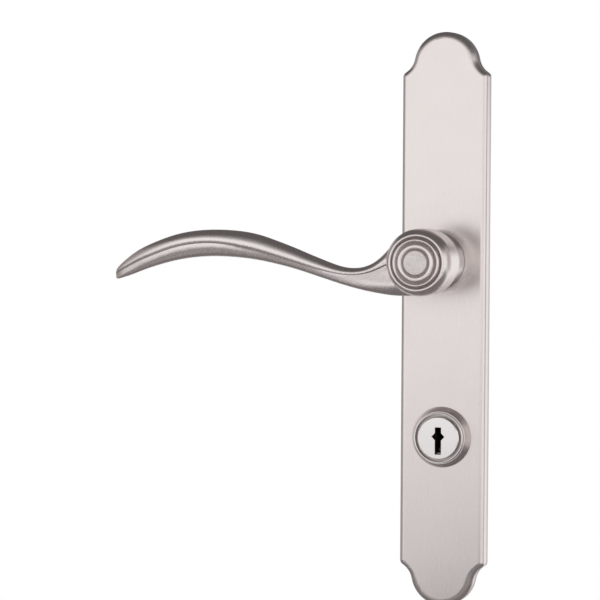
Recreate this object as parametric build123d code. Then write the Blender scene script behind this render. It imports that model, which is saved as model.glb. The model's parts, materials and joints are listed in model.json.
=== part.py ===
from build123d import *
import os
from math import asin, atan2, cos, degrees, hypot, pi, radians, sin, sqrt

# Storm door handle set, outside half, in millimetres.
# The origin is on the lever's spindle axis, in the plane of the door's face.
# +Z is up, the door is on the +Y side, and the lever points to -X.

# Fits between pieces
SLIP = 0.02
RUN = 0.06
END_PLAY = 0.1
AIR = 0.3

# Escutcheon plate
PLATE_WIDTH = 36.5
PLATE_DEPTH = 8.0
PLATE_WALL = 1.6
PLATE_ABOVE = 95.5
PLATE_BELOW = 145.3
DOME_INSET = 4.65
DOME_TURN = 80.0
COVE_RADIUS = 8.4
FACE_ROUND = 1.7
SHOULDER_EASE = 0.6

# Screw posts
POST_INSET = 33.5
POST_RADIUS = 4.0
POST_REACH = 20.0
POST_TAP = 1.7
POST_TAP_DEPTH = 16.0
POST_MOUTH = 0.5
BOSS_WALL = 2.0
BOSS_HEIGHT = 3.2

# Lever rose, bush and thrust washer
ROSE_RADIUS = 13.0
ROSE_HEIGHT = 10.0
ROSE_BASE = 3.2
ROSE_LEAN = 0.8
ROSE_CROWN = 0.25
SPIGOT_WALL = 1.5
BUSH_WALL = 1.9
BUSH_FLANGE = 1.0
BUSH_FLANGE_RADIUS = 11.8
WASHER_WALL = 2.6
WASHER_THICK = 1.0
WASHER_PROUD = 0.2

# Lever shank, hub and neck, with reaches counted from the plate's face
SHANK_RADIUS = 7.0
SHANK_FLAT = 5.6
SHANK_TAIL = 1.2
NECK_ROOT_RADIUS = 11.9
NECK_WAIST_RADIUS = 10.5
NECK_BEAD_RADIUS = 12.2
NECK_BEAD_REACH = 23.0
NECK_BEAD_WIDTH = 3.6
HUB_RADIUS = 13.7
HUB_BACK_REACH = 26.0
HUB_FRONT_REACH = 37.5
HUB_BORDER_DROP = 0.7
DISC_REACH = 44.0
BEAD_REACHES = (43.8, 43.3, 42.5)
BEAD_CROWN = 0.15
GROOVES = ((5.35, 1.1), (8.05, 1.1), (10.3, 1.0))
GROOVE_DEPTH = 0.9
HUB_RIM_RADIUS = 12.3

# Lever grip: each station gives its share of the length, then the heights of the top,
# the band's crest, the crease and the bottom, then the front's reach and the depth behind it.
# The top and the bottom lie at shares of that depth. Quarters of ellipses join these places.
LEVER_LENGTH = 136.0
GRIP_SECTIONS = 24
END_CROWDING = 0.6
BAND_STEP = 0.8
STEP_SHARE = 0.35
TOP_SHARE = 0.42
BOTTOM_SHARE = 0.42
QUARTER_PARTS = (0.5, 0.85)
GRIP_STATIONS = (
    (0.010, 8.0, 3.3, 1.0, -13.3, 38.0, 10.6),
    (0.060, 9.4, 3.5, 0.6, -13.5, 38.4, 10.6),
    (0.095, 6.3, 1.2, -1.0, -13.4, 38.8, 10.6),
    (0.125, 1.6, -1.6, -2.9, -12.9, 39.0, 10.3),
    (0.165, -1.6, -3.9, -4.8, -12.0, 39.2, 9.6),
    (0.220, -2.6, -4.7, -5.5, -10.3, 39.3, 8.8),
    (0.295, 0.2, -2.95, -4.0, -7.3, 39.3, 8.6),
    (0.405, 5.9, 1.6, 0.1, -2.9, 39.3, 9.4),
    (0.530, 11.2, 6.25, 4.6, 0.4, 39.0, 10.4),
    (0.660, 12.5, 8.5, 6.9, 1.4, 38.0, 10.4),
    (0.770, 10.8, 7.05, 5.3, -0.1, 36.4, 9.4),
    (0.870, 6.4, 2.75, 1.0, -3.5, 34.0, 7.4),
    (0.930, 2.4, -0.8, -2.3, -6.3, 32.0, 5.6),
    (0.970, -1.6, -3.85, -4.9, -8.0, 30.4, 3.8),
    (0.988, -3.8, -5.35, -6.1, -8.5, 29.2, 2.4),
    (1.000, -6.0, -6.7, -7.0, -8.0, 27.0, 0.9),
)

# Return stop, driver and spring
LEVER_SWING = 45.0
ARM_WIDTH = 6.0
ARM_REACH = 14.8
LUG_INSIDE = 12.2
LUG_OUTSIDE = 15.4
LUG_THICK = 3.0
LUG_STANDOFF = 0.3
DRIVER_RADIUS = 11.0
DRIVER_HUB_WALL = 1.4
DRIVER_THICK = 1.5
WIRE = 1.2
SPRING_RADIUS = 9.6
SPRING_PITCH = 1.25
SPRING_TURNS = 1.5
SPRING_LEG = 9.0
SPRING_GAP = 0.3
PEG_RADIUS = 1.0
PEG_DROP = 7.0
PEG_GAP = 0.15
RING_THICK = 0.8
RING_WALL = 2.4
RING_SINK = 0.8
RING_OPENING = 7.0

# Spindle
SPINDLE_SQUARE = 6.35
SPINDLE_REACH = 45.0
SPINDLE_SOCKET = 24.0
SPINDLE_POINT = 0.8
PIN_RADIUS = 1.0

# Key cylinder
KEY_DROP = 74.0
COLLAR_RADIUS = 12.8
COLLAR_TAPER = 1.6
COLLAR_HEIGHT = 4.4
COLLAR_LIP = 1.2
HEAD_RADIUS = 10.5
HEAD_REACH = 5.6
HEAD_EDGE = 0.4
HOUSING_RADIUS = 9.4
HOUSING_BACK = 13.0
LOCK_GROOVE = 8.3
NUT_FLATS = 24.0
NUT_THICK = 3.2
LOCK_WASHER_RADIUS = 12.6
LOCK_WASHER_THICK = 0.8
LOCK_WASHER_SLIT = 1.0
PLUG_FACE_RADIUS = 8.9
PLUG_REACH = 6.0
PLUG_HEAD = 3.0
PLUG_EDGE = 0.3
PLUG_RADIUS = 6.35
PLUG_TAIL = 3.0
FACE_GAP = 1.05
KEYWAY_WIDTH = 2.7
KEYWAY_UP = 4.5
KEYWAY_DOWN = 6.9
KEYWAY_DEPTH = 24.0
BULGE_HALF = 2.8
BULGE_RISE = 0.6
BULGE_TALL = 2.9
BULGE_DEPTH = 4.0
WAFER_COUNT = 5
WAFER_PITCH = 4.0
WAFER_THICK = 1.5
WAFER_WIDTH = 8.0
WAFER_START = 5.0
WAFER_WINDOW_WIDTH = 3.4
WAFER_WINDOW_TALL = 8.4
WAFER_CUTS = (0.0, 0.6, 0.2, 0.8, 0.4)
CLIP_THICK = 0.8
CLIP_WALL = 2.6
CLIP_SINK = 1.1
CLIP_OPENING = 6.0
TAIL_BASE_RADIUS = 6.0
TAIL_BASE_THICK = 1.2
TAIL_WIDTH = 6.0
TAIL_THICK = 1.8
TAIL_REACH = 45.0
TAIL_SCREW_SPREAD = 3.8
TAIL_SCREW_RADIUS = 0.8
TAIL_SCREW_HEAD = 1.4
TAIL_SCREW_HEAD_THICK = 0.9
TAIL_SCREW_LENGTH = 4.0

# Heights of the screw posts
POST_UP = PLATE_ABOVE - POST_INSET
POST_DOWN = PLATE_BELOW - POST_INSET

# Planes along the lever's axis, worked out from the stack of pieces
FACE = -PLATE_DEPTH
INNER = -(PLATE_DEPTH - PLATE_WALL)
ROSE_FRONT = FACE - ROSE_HEIGHT
WASHER_SEAT = ROSE_FRONT + WASHER_THICK - WASHER_PROUD
NECK_BACK = ROSE_FRONT - WASHER_PROUD - END_PLAY
BUSH_BACK = INNER + BUSH_FLANGE
COIL_FRONT = BUSH_BACK + SPRING_GAP + WIRE / 2
COIL_BACK = COIL_FRONT + SPRING_PITCH * SPRING_TURNS
DRIVER_HUB_FRONT = BUSH_BACK + END_PLAY
DRIVER_FRONT = COIL_BACK + WIRE / 2 + SPRING_GAP
DRIVER_BACK = DRIVER_FRONT + DRIVER_THICK
RING_BACK = DRIVER_BACK + RING_THICK
SHANK_END = RING_BACK + SHANK_TAIL
PIN_PLANE = (DRIVER_HUB_FRONT + DRIVER_FRONT) / 2

# Radii shared by pieces on the lever's axis
BUSH_RADIUS = SHANK_RADIUS + RUN + BUSH_WALL
SPIGOT_RADIUS = BUSH_RADIUS + SLIP + SPIGOT_WALL
WASHER_RADIUS = SHANK_RADIUS + AIR + WASHER_WALL
PEG_OUT = SPRING_RADIUS + WIRE / 2 + PEG_GAP + PEG_RADIUS

# Planes along the key cylinder's axis
HEAD_FRONT = FACE - HEAD_REACH
PLUG_FRONT = FACE - PLUG_REACH
PLUG_SHOULDER = PLUG_FRONT + PLUG_HEAD
HEAD_FLOOR = PLUG_SHOULDER + END_PLAY
LIP_FRONT = FACE - COLLAR_LIP
CLIP_FRONT = HOUSING_BACK + END_PLAY
CLIP_BACK = CLIP_FRONT + CLIP_THICK
PLUG_BACK = CLIP_BACK + PLUG_TAIL
TAIL_BASE_BACK = PLUG_BACK + TAIL_BASE_THICK


# Shared shapes
def slab(sketch, front, back):
    """Extrude a sketch drawn in X and Z between two planes of constant Y."""
    return extrude(Plane.XZ.offset(-back) * sketch, amount=back - front)


def disc(radius, front, back):
    return slab(Circle(radius), front, back)


def ring(outer, inner, front, back):
    return slab(Circle(outer) - Circle(inner), front, back)


def turned(*edges):
    """Revolve a closed profile, drawn as radius and Y, round the Y axis."""
    return revolve(make_face(list(edges)), axis=Axis.Y)


def turned_points(*points):
    return turned(Polyline(*points, close=True))


# Escutcheon plate
def end_arcs(inset, tip, way):
    """Right half of a domed end: shoulder, cove middle, join, seen from the plate's middle."""
    half = PLATE_WIDTH / 2 - inset
    dome = PLATE_WIDTH / 2 - DOME_INSET - inset
    cove = COVE_RADIUS + inset
    centre = tip - way * (PLATE_WIDTH / 2 - DOME_INSET)
    turn = radians(DOME_TURN)
    meet = asin(sin(turn) - (half - dome * sin(turn)) / cove)
    cove_x = (dome + cove) * sin(turn)
    cove_z = centre + way * (dome + cove) * cos(turn)

    def on_cove(angle):
        return cove_x - cove * sin(angle), cove_z - way * cove * cos(angle)

    crown = (0, centre + way * dome)
    return on_cove(meet), on_cove((meet + turn) / 2), on_cove(turn), crown


def mirrored(point):
    return -point[0], point[1]


def domed_end(inset, tip, way):
    """Cove, dome and cove of one end, from the right shoulder to the left one."""
    shoulder, middle, join, crown = end_arcs(inset, tip, way)
    right = ThreePointArc(shoulder, middle, join)
    dome = ThreePointArc(join, crown, mirrored(join))
    left = ThreePointArc(mirrored(join), mirrored(middle), mirrored(shoulder))
    return [right, dome, left], shoulder


def plate_outline(inset):
    top, upper = domed_end(inset, PLATE_ABOVE, 1)
    bottom, lower = domed_end(inset, -PLATE_BELOW, -1)
    sides = [Line(upper, lower), Line(mirrored(upper), mirrored(lower))]
    return make_face(top + bottom + sides)


def stop_lug(side):
    """Lug beside the driver's arm, where the arm stands at one end of the lever's swing."""
    out = ARM_WIDTH / 2 + AIR + LUG_THICK / 2
    up = (LUG_INSIDE + LUG_OUTSIDE) / 2
    block = Pos(side * out, up) * Rectangle(LUG_THICK, LUG_OUTSIDE - LUG_INSIDE)
    return slab(Rot(0, 0, -side * LEVER_SWING / 2) * block, INNER, -LUG_STANDOFF)


def escutcheon():
    outline = plate_outline(0)
    edge = PLATE_WIDTH / 2
    shoulders = outline.vertices().filter_by(lambda v: abs(abs(v.X) - edge) < SLIP)
    outline = fillet(shoulders, FACE_ROUND + SHOULDER_EASE)
    shell = slab(outline, FACE, 0)
    shell = fillet(shell.faces().sort_by(Axis.Y)[0].edges(), FACE_ROUND)
    shell -= slab(plate_outline(PLATE_WALL), INNER, 0)
    for height in (POST_UP, -POST_DOWN):
        boss = ring(POST_RADIUS + BOSS_WALL, POST_RADIUS + SLIP, INNER, INNER + BOSS_HEIGHT)
        shell += Pos(0, 0, height) * boss
    for side in (-1, 1):
        shell += stop_lug(side)
    shell += Pos(PEG_OUT, 0, -PEG_DROP) * disc(PEG_RADIUS, INNER, COIL_FRONT + WIRE)
    shell -= disc(SPIGOT_RADIUS + SLIP, FACE, INNER)
    shell -= Pos(0, 0, -KEY_DROP) * disc(HOUSING_RADIUS + SLIP, FACE, INNER)
    return shell


def screw_post(height):
    post = disc(POST_RADIUS, INNER, POST_REACH)
    post = chamfer(post.faces().sort_by(Axis.Y)[-1].edges(), POST_MOUTH)
    post -= disc(POST_TAP, POST_REACH - POST_TAP_DEPTH, POST_REACH)
    return Pos(0, 0, height) * post


# Lever and what it turns on
def lever_rose():
    bore = BUSH_RADIUS + SLIP
    seat = WASHER_RADIUS + SLIP
    crown = (ROSE_RADIUS - ROSE_CROWN, FACE - (ROSE_BASE + ROSE_HEIGHT) / 2)
    front = (ROSE_RADIUS - ROSE_LEAN, ROSE_FRONT)
    base = (ROSE_RADIUS, FACE - ROSE_BASE)
    inside = Polyline(
        front,
        (seat, ROSE_FRONT),
        (seat, WASHER_SEAT),
        (bore, WASHER_SEAT),
        (bore, INNER),
        (SPIGOT_RADIUS, INNER),
        (SPIGOT_RADIUS, FACE),
        (ROSE_RADIUS, FACE),
        base,
    )
    return turned(inside, ThreePointArc(base, crown, front))


def lever_bushing():
    sleeve = ring(BUSH_RADIUS, SHANK_RADIUS + RUN, WASHER_SEAT, BUSH_BACK)
    return sleeve + ring(BUSH_FLANGE_RADIUS, SHANK_RADIUS + RUN, INNER, BUSH_BACK)


def thrust_washer():
    return ring(WASHER_RADIUS, SHANK_RADIUS + AIR, WASHER_SEAT - WASHER_THICK, WASHER_SEAT)


def hub_rings():
    """Pointed grooves of the hub's face, each with the crowned bead outside it."""
    rings = []
    inside = FACE - DISC_REACH
    for index, ((radius, width), reach) in enumerate(zip(GROOVES, BEAD_REACHES)):
        outside = FACE - reach
        bead_start = (radius + width / 2, outside)
        rings.append(Polyline((radius - width / 2, inside), (radius, outside + GROOVE_DEPTH), bead_start))
        bead_end = (HUB_RIM_RADIUS, outside)
        if index + 1 < len(GROOVES):
            next_radius, next_width = GROOVES[index + 1]
            bead_end = (next_radius - next_width / 2, outside)
        crest = ((bead_start[0] + bead_end[0]) / 2, outside - BEAD_CROWN)
        rings.append(ThreePointArc(bead_start, crest, bead_end))
        inside = outside
    return rings, bead_end


def lever_turning():
    """Ringed hub, barrel, beaded neck and shank, turned as one profile."""
    disc_front = FACE - DISC_REACH
    rings, rim = hub_rings()
    barrel_front = (HUB_RADIUS, FACE - HUB_FRONT_REACH)
    border_reach = (BEAD_REACHES[-1] + HUB_FRONT_REACH) / 2 + HUB_BORDER_DROP
    border = (HUB_RADIUS - HUB_BORDER_DROP, FACE - border_reach)
    bead_front = (NECK_BEAD_RADIUS - HUB_BORDER_DROP, FACE - NECK_BEAD_REACH - NECK_BEAD_WIDTH / 2)
    bead = (NECK_BEAD_RADIUS, FACE - NECK_BEAD_REACH)
    bead_back = (NECK_BEAD_RADIUS - HUB_BORDER_DROP, FACE - NECK_BEAD_REACH + NECK_BEAD_WIDTH / 2)
    waist = (NECK_WAIST_RADIUS, (bead_back[1] + NECK_BACK) / 2)
    root = (NECK_ROOT_RADIUS, NECK_BACK)
    disc_face = Line((0, disc_front), rings[0] @ 0)
    barrel = Polyline(barrel_front, (HUB_RADIUS, FACE - HUB_BACK_REACH), bead_front)
    shank = Polyline(
        root,
        (SHANK_RADIUS, NECK_BACK),
        (SHANK_RADIUS, SHANK_END),
        (0, SHANK_END),
        (0, disc_front),
    )
    return turned(
        disc_face,
        *rings,
        ThreePointArc(rim, border, barrel_front),
        barrel,
        ThreePointArc(bead_front, bead, bead_back),
        ThreePointArc(bead_back, waist, root),
        shank,
    )


def quarter(start, end):
    """Points between the ends of an elliptical quarter that sets out upright from its start."""
    points = []
    for part in QUARTER_PARTS:
        back = start[0] + (end[0] - start[0]) * (1 - sqrt(1 - part * part))
        points.append((back, start[1] + (end[1] - start[1]) * part))
    return points


def grip_section(share, top, crest, crease, bottom, reach, depth):
    """One section of the grip: a raised round band, a crease below it, and a round back."""
    front = FACE - reach
    crown = (front, crest)
    corner = (front + min(BAND_STEP, STEP_SHARE * depth), crease)
    over = (front + TOP_SHARE * depth, top)
    under = (front + BOTTOM_SHARE * depth, bottom)
    outline = Spline(
        corner,
        *reversed(quarter(crown, corner)),
        crown,
        *quarter(crown, over),
        over,
        (front + depth, (top + bottom) / 2),
        under,
        *reversed(quarter(corner, under)),
        corner,
    )
    plane = Plane(origin=(-share * LEVER_LENGTH, 0, 0), x_dir=(0, 1, 0), z_dir=(1, 0, 0))
    return plane * make_face(outline)


def grip_station(share):
    """Station at any share of the length: a cubic between neighbours, with their mean slopes."""
    shares = [station[0] for station in GRIP_STATIONS]
    last = len(shares) - 1
    here = max(index for index in range(last) if shares[index] <= share)
    start, end = shares[here], shares[here + 1]
    t = (share - start) / (end - start)
    rise = t * t * (3 - 2 * t)

    def slope(index, column):
        low, high = max(index - 1, 0), min(index + 1, last)
        return (GRIP_STATIONS[high][column] - GRIP_STATIONS[low][column]) / (shares[high] - shares[low])

    def value(column):
        near, far = GRIP_STATIONS[here][column], GRIP_STATIONS[here + 1][column]
        bend = slope(here, column) * t * (1 - t) ** 2 - slope(here + 1, column) * t * t * (1 - t)
        return near + (far - near) * rise + bend * (end - start)

    return [share] + [value(column) for column in range(1, len(GRIP_STATIONS[0]))]


def grip_shares():
    """Places of the sections along the grip, closer together towards its two ends."""
    root = GRIP_STATIONS[0][0]
    even = [index / GRIP_SECTIONS for index in range(GRIP_SECTIONS + 1)]
    crowded = [(1 - END_CROWDING) * u + END_CROWDING * (1 - cos(pi * u)) / 2 for u in even]
    return [root + (1 - root) * u for u in crowded]


def shank_section(gap):
    return Circle(SHANK_RADIUS + gap) & Rectangle(2 * (SHANK_FLAT + gap), 4 * SHANK_RADIUS)


def lever():
    grip = loft([grip_section(*grip_station(share)) for share in grip_shares()])
    body = lever_turning() + grip
    body -= slab(Circle(2 * SHANK_RADIUS) - shank_section(0), DRIVER_HUB_FRONT, SHANK_END)
    body -= ring(2 * SHANK_RADIUS, SHANK_RADIUS - RING_SINK, DRIVER_BACK, RING_BACK)
    socket = SPINDLE_SQUARE + 2 * SLIP
    body -= slab(Rectangle(socket, socket), SHANK_END - SPINDLE_SOCKET, SHANK_END)
    body -= cross_pin(PIN_RADIUS + SLIP)
    return body


def cross_pin(radius):
    return Pos(0, PIN_PLANE, 0) * Rot(0, 90, 0) * Cylinder(radius, 2 * SHANK_FLAT)


def spindle():
    section = Rectangle(SPINDLE_SQUARE, SPINDLE_SQUARE)
    bar = slab(section, SHANK_END - SPINDLE_SOCKET + END_PLAY, SPINDLE_REACH)
    bar = chamfer(bar.faces().sort_by(Axis.Y)[-1].edges(), SPINDLE_POINT)
    return bar - cross_pin(PIN_RADIUS + SLIP)


def driver_arm(out, up):
    """Bar of the driver from its middle to a point, rounded at its end."""
    length = hypot(out, up)
    bar = Pos(0, length / 2) * Rectangle(ARM_WIDTH, length)
    return Rot(0, 0, -degrees(atan2(out, up))) * bar + Pos(out, up) * Circle(ARM_WIDTH / 2)


def spring_driver():
    swing = radians(LEVER_SWING / 2)
    stop_bar = Pos(0, ARM_REACH / 2) * Rectangle(ARM_WIDTH, ARM_REACH)
    outline = Circle(DRIVER_RADIUS) + Rot(0, 0, -degrees(swing)) * stop_bar
    outline += driver_arm(-PEG_OUT, -PEG_DROP)
    plate = slab(outline, DRIVER_FRONT, DRIVER_BACK)
    plate += disc(SHANK_RADIUS + DRIVER_HUB_WALL, DRIVER_HUB_FRONT, DRIVER_FRONT)
    plate += Pos(-PEG_OUT, 0, -PEG_DROP) * disc(PEG_RADIUS, COIL_BACK - WIRE, DRIVER_FRONT)
    return plate - slab(shank_section(SLIP), DRIVER_HUB_FRONT, DRIVER_BACK)


def return_spring():
    """Torsion spring: a left-hand coil with a straight leg along each end's tangent."""
    coil_plane = Plane(origin=(0, COIL_FRONT, 0), x_dir=(1, 0, 0), z_dir=(0, 1, 0))
    coil = coil_plane * Helix(SPRING_PITCH, SPRING_PITCH * SPRING_TURNS, SPRING_RADIUS, lefthand=True)
    leg_in = Line(coil @ 0 - (coil % 0) * SPRING_LEG, coil @ 0)
    leg_out = Line(coil @ 1, coil @ 1 + (coil % 1) * SPRING_LEG)
    path = Wire([leg_in, coil.edge(), leg_out])
    section = Plane(origin=path @ 0, z_dir=path % 0) * Circle(WIRE / 2)
    return sweep(section, path=path)


def open_ring(outer, inner, opening, front, back):
    """Ring with a straight gap at its bottom, as a circlip has."""
    gap = Pos(0, -outer) * Rectangle(opening, 2 * outer)
    return slab(Circle(outer) - Circle(inner) - gap, front, back)


def retaining_ring():
    inner = SHANK_RADIUS - RING_SINK + SLIP
    return open_ring(inner + RING_WALL, inner, RING_OPENING, DRIVER_BACK, RING_BACK)


# Key cylinder, on its own axis
def cylinder_collar():
    bore = HEAD_RADIUS + SLIP
    lip = HOUSING_RADIUS + SLIP
    front = FACE - COLLAR_HEIGHT
    return turned_points(
        (COLLAR_RADIUS, FACE),
        (COLLAR_RADIUS - COLLAR_TAPER, front),
        (bore, front),
        (bore, LIP_FRONT),
        (lip, LIP_FRONT),
        (lip, FACE),
    )


def cylinder_housing():
    bore = PLUG_RADIUS + RUN
    recess = PLUG_FACE_RADIUS + FACE_GAP
    body = turned_points(
        (bore, HOUSING_BACK),
        (bore, HEAD_FLOOR),
        (recess, HEAD_FLOOR),
        (recess, HEAD_FRONT),
        (HEAD_RADIUS - HEAD_EDGE, HEAD_FRONT),
        (HEAD_RADIUS, HEAD_FRONT + HEAD_EDGE),
        (HEAD_RADIUS, LIP_FRONT),
        (HOUSING_RADIUS, LIP_FRONT),
        (HOUSING_RADIUS, HOUSING_BACK),
    )
    groove = Rectangle(WAFER_WIDTH + 2 * AIR, 4 * LOCK_GROOVE) & Circle(LOCK_GROOVE)
    first = wafer_plane(0) - WAFER_PITCH / 2
    last = wafer_plane(WAFER_COUNT - 1) + WAFER_PITCH / 2
    return body - slab(groove, first, last)


def lock_washer():
    inner = HOUSING_RADIUS + SLIP
    return open_ring(LOCK_WASHER_RADIUS, inner, LOCK_WASHER_SLIT, INNER, INNER + LOCK_WASHER_THICK)


def cylinder_nut():
    hexagon = RegularPolygon(NUT_FLATS / 2, 6, major_radius=False)
    front = INNER + LOCK_WASHER_THICK
    return slab(hexagon - Circle(HOUSING_RADIUS + SLIP), front, front + NUT_THICK)


def wafer_plane(index):
    return PLUG_SHOULDER + WAFER_START + index * WAFER_PITCH - WAFER_THICK / 2


def wafer_slot(index):
    middle = wafer_plane(index)
    half = WAFER_THICK / 2 + SLIP
    return slab(Rectangle(WAFER_WIDTH + 2 * SLIP, 4 * PLUG_RADIUS), middle - half, middle + half)


def wafer(index):
    frame = Circle(PLUG_RADIUS - SLIP) & Rectangle(WAFER_WIDTH, 4 * PLUG_RADIUS)
    window = Pos(0, WAFER_CUTS[index] - WAFER_CUTS[-1]) * Rectangle(WAFER_WINDOW_WIDTH, WAFER_WINDOW_TALL)
    middle = wafer_plane(index)
    return slab(frame - window, middle - WAFER_THICK / 2, middle + WAFER_THICK / 2)


def key_plug():
    groove = PLUG_RADIUS - CLIP_SINK
    plug = turned_points(
        (0, PLUG_FRONT),
        (PLUG_FACE_RADIUS - PLUG_EDGE, PLUG_FRONT),
        (PLUG_FACE_RADIUS, PLUG_FRONT + PLUG_EDGE),
        (PLUG_FACE_RADIUS, PLUG_SHOULDER),
        (PLUG_RADIUS, PLUG_SHOULDER),
        (PLUG_RADIUS, CLIP_FRONT),
        (groove, CLIP_FRONT),
        (groove, CLIP_BACK),
        (PLUG_RADIUS, CLIP_BACK),
        (PLUG_RADIUS, PLUG_BACK),
        (0, PLUG_BACK),
    )
    slot = Pos(0, (KEYWAY_UP - KEYWAY_DOWN) / 2) * Rectangle(KEYWAY_WIDTH, KEYWAY_UP + KEYWAY_DOWN)
    plug -= slab(slot, PLUG_FRONT, PLUG_FRONT + KEYWAY_DEPTH)
    diamond = make_face(
        Polyline(
            (-BULGE_HALF, BULGE_RISE),
            (0, BULGE_RISE + BULGE_TALL),
            (BULGE_HALF, BULGE_RISE),
            (0, BULGE_RISE - BULGE_TALL),
            close=True,
        )
    )
    plug -= slab(diamond, PLUG_FRONT, PLUG_FRONT + BULGE_DEPTH)
    for index in range(WAFER_COUNT):
        plug -= wafer_slot(index)
    for side in (-1, 1):
        hole = disc(TAIL_SCREW_RADIUS + SLIP, PLUG_BACK - TAIL_SCREW_LENGTH, PLUG_BACK)
        plug -= Pos(side * TAIL_SCREW_SPREAD, 0, 0) * hole
    return plug


def plug_clip():
    inner = PLUG_RADIUS - CLIP_SINK + SLIP
    return open_ring(inner + CLIP_WALL, inner, CLIP_OPENING, CLIP_FRONT, CLIP_BACK)


def tailpiece():
    base = disc(TAIL_BASE_RADIUS, PLUG_BACK, TAIL_BASE_BACK)
    for side in (-1, 1):
        hole = disc(TAIL_SCREW_RADIUS + SLIP, PLUG_BACK, TAIL_BASE_BACK)
        base -= Pos(side * TAIL_SCREW_SPREAD, 0, 0) * hole
    bar = slab(Rectangle(TAIL_THICK, TAIL_WIDTH), TAIL_BASE_BACK, TAIL_REACH)
    corners = bar.faces().sort_by(Axis.Y)[-1].edges().filter_by(Axis.X)
    return base + chamfer(corners, TAIL_THICK)


def tailpiece_screw():
    stem = disc(TAIL_SCREW_RADIUS, PLUG_BACK - TAIL_SCREW_LENGTH + END_PLAY, TAIL_BASE_BACK)
    return stem + disc(TAIL_SCREW_HEAD, TAIL_BASE_BACK, TAIL_BASE_BACK + TAIL_SCREW_HEAD_THICK)


def tailpiece_screws():
    return Compound([Pos(side * TAIL_SCREW_SPREAD, 0, 0) * tailpiece_screw() for side in (-1, 1)])


# All pieces, each written to its own file
pieces = {
    "escutcheon": escutcheon(),
    "upper_post": screw_post(POST_UP),
    "lower_post": screw_post(-POST_DOWN),
    "lever_rose": lever_rose(),
    "lever_bushing": lever_bushing(),
    "thrust_washer": thrust_washer(),
    "lever": lever(),
    "spindle": spindle(),
    "spindle_pin": cross_pin(PIN_RADIUS),
    "spring_driver": spring_driver(),
    "return_spring": return_spring(),
    "retaining_ring": retaining_ring(),
}

key_pieces = {
    "cylinder_collar": cylinder_collar(),
    "cylinder_housing": cylinder_housing(),
    "lock_washer": lock_washer(),
    "cylinder_nut": cylinder_nut(),
    "key_plug": key_plug(),
    "plug_clip": plug_clip(),
    "tailpiece": tailpiece(),
    "tailpiece_screws": tailpiece_screws(),
}
for number in range(WAFER_COUNT):
    key_pieces[f"wafer_{number + 1}"] = wafer(number)
for name, piece in key_pieces.items():
    pieces[name] = Pos(0, 0, -KEY_DROP) * piece

os.makedirs("parts", exist_ok=True)
for name, piece in pieces.items():
    export_step(piece, f"parts/{name}.step")
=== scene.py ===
# %% [markdown]
# # A storm door handle set in satin nickel
#
# This lesson dresses a finished CAD model: a long escutcheon plate, a wave
# shaped lever on a ringed hub, and a key cylinder. The CAD pieces stay where
# they are. Blender adds the studio, the finishes and the fine forms.

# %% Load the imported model
import bmesh
import bpy
import json
import math
import numpy as np
from mathutils import Matrix, Vector


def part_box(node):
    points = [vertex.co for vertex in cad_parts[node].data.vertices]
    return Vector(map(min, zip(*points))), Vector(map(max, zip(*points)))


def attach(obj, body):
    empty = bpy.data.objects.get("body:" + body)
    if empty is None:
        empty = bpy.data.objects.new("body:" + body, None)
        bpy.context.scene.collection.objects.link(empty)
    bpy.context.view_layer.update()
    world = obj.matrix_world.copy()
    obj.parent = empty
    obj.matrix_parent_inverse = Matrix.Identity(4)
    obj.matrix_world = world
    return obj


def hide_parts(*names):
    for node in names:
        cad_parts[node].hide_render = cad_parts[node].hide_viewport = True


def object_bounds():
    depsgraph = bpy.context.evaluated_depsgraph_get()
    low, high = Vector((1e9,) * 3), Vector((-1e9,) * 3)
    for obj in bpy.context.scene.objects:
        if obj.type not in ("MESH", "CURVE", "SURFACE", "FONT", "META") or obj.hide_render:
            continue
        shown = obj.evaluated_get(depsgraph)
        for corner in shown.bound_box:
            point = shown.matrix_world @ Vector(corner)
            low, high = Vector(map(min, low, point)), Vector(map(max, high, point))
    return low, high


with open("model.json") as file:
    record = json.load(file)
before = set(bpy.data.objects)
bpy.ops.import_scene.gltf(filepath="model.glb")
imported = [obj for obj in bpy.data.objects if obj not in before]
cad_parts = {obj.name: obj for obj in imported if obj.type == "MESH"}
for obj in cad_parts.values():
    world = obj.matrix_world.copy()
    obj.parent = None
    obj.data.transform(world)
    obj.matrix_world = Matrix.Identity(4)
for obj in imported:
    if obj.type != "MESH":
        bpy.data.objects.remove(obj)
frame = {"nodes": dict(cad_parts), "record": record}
cad_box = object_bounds()
nodes = frame["nodes"]
print("pieces in the frame:", len(nodes))

# %% [markdown]
# ## The camera
#
# A camera can be placed by eye, or worked out from the plate's straight edges
# and the round hub in the picture. It was worked out here: a long lens from the
# right, a little above the lever. The lens looks straight at the middle of the
# picture, so no shift is needed and every other view stays in the frame.

# %% Place the camera
CAMERA_PLACE = Vector((0.3055, -1.1547, 0.0287))
CAMERA_AZIMUTH = math.radians(17.80)
CAMERA_ELEVATION = math.radians(2.20)
CAMERA_ROLL = math.radians(0.316)
CAMERA_LENS = 170.1
CAMERA_REACH = 20.0


def add_object(name, data):
    made = bpy.data.objects.new(name, data)
    bpy.context.scene.collection.objects.link(made)
    return made


def look_axes(azimuth, elevation, roll):
    """Camera axes: back points at the viewer, right is level, and roll turns right towards up."""
    flat = math.cos(elevation)
    back = Vector((math.sin(azimuth) * flat, -math.cos(azimuth) * flat, math.sin(elevation)))
    right = Vector((math.cos(azimuth), math.sin(azimuth), 0))
    up = back.cross(right)
    rolled_right = right * math.cos(roll) + up * math.sin(roll)
    rolled_up = up * math.cos(roll) - right * math.sin(roll)
    return Matrix((rolled_right, rolled_up, back)).transposed()


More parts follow.
